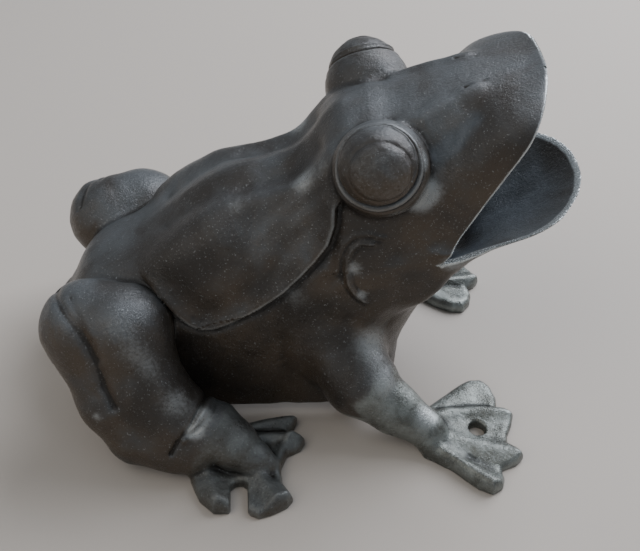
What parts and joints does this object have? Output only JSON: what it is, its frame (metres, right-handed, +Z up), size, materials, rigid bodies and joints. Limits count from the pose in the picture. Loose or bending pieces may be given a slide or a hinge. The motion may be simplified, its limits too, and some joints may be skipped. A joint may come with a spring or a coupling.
{
  "type": "cast iron game frog",
  "caption": "Hollow cast-iron sitting frog with a wide open mouth and screw holes in its webbed feet, the target of a disc-tossing game.",
  "frame": {"origin": "middle of the bounding box, on the surface that the feet rest on", "axes": "+X the way the frog looks, +Y its left side, +Z up"},
  "size_m": [0.153, 0.1284, 0.1058],
  "materials": {
    "patina_iron": "dark brown-black patina over rough sand-cast iron, rubbed to a soft sheen on high spots",
    "mouth_iron": "dull slate-grey iron, worn bright along the lips",
    "bare_iron": "patina worn away to dull blue-grey bare iron"
  },
  "bodies": {
    "root": {"back_shell": "patina_iron", "belly_shell": "patina_iron", "chest_shell": "patina_iron", "upper_jaw": "patina_iron", "lower_jaw": "mouth_iron", "left_eye": "patina_iron", "right_eye": "patina_iron", "left_eyelid": "patina_iron", "right_eyelid": "patina_iron", "left_ear_disc": "patina_iron", "right_ear_disc": "patina_iron", "left_front_leg": "patina_iron", "right_front_leg": "patina_iron", "left_front_foot": "bare_iron", "right_front_foot": "bare_iron", "left_thigh": "patina_iron", "right_thigh": "patina_iron", "left_shin": "patina_iron", "right_shin": "patina_iron", "left_hind_foot": "bare_iron", "right_hind_foot": "bare_iron"}
  },
  "joints": []
}
